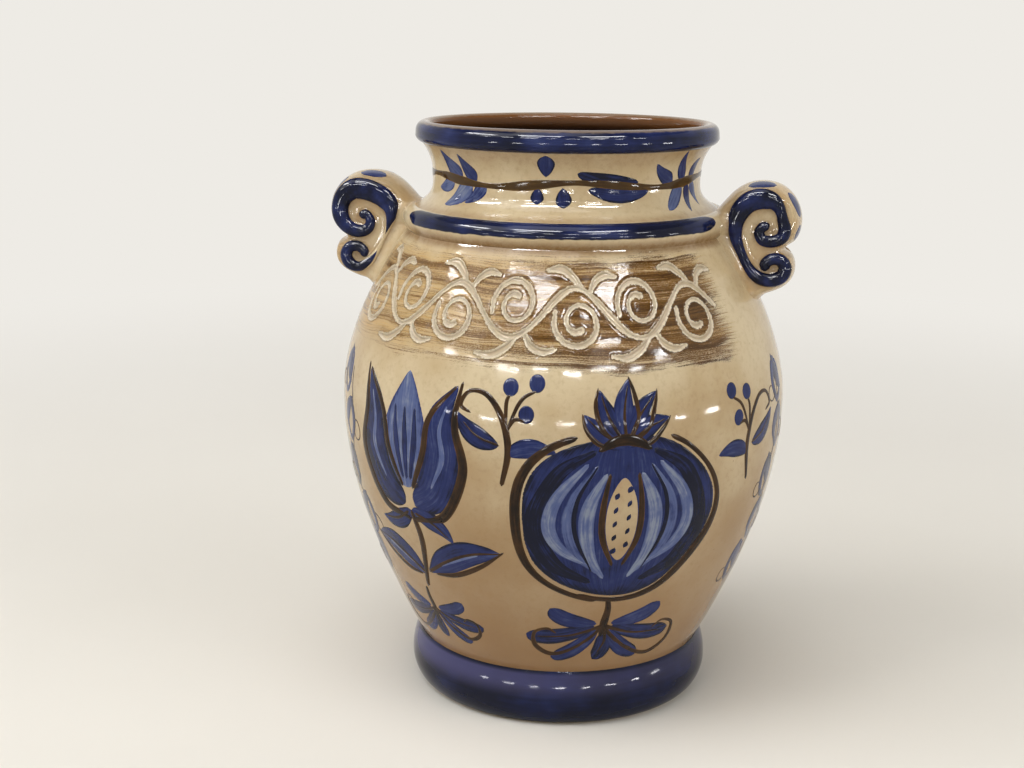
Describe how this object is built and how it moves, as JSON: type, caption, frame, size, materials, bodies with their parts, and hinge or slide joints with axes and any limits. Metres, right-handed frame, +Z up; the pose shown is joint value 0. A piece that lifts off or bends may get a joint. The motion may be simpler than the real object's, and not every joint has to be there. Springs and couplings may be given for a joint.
{
  "type": "stoneware crock",
  "caption": "Round-bellied glazed stoneware crock with a foot ring, beaded shoulder, flared neck and two scroll lugs, for steeping fruit in spirit.",
  "frame": {"origin": "centre of the circle on which the foot ring stands, on the table", "axes": "+Z up along the pot's axis, +X through the right-hand lug, -Y out of the decorated front"},
  "size_m": [0.2464, 0.232, 0.3],
  "materials": {
    "cream_glaze": "glossy salt-glazed stoneware, cream to tan",
    "cobalt_glaze": "glossy cobalt-blue glaze on stoneware",
    "liner_glaze": "glossy dark brown glaze inside the pot",
    "brown_glaze": "brown slip brushed under the glaze"
  },
  "bodies": {
    "root": {"foot_ring": "cobalt_glaze", "base_slab": "liner_glaze", "lower_belly": "cream_glaze", "upper_belly": "cream_glaze", "shoulder_bead": "cobalt_glaze", "neck_collar": "cream_glaze", "rim_band": "cobalt_glaze", "left_lug": "cream_glaze", "right_lug": "cream_glaze", "left_front_scroll": "cobalt_glaze", "left_rear_scroll": "cobalt_glaze", "right_front_scroll": "cobalt_glaze", "right_rear_scroll": "cobalt_glaze"}
  },
  "joints": []
}
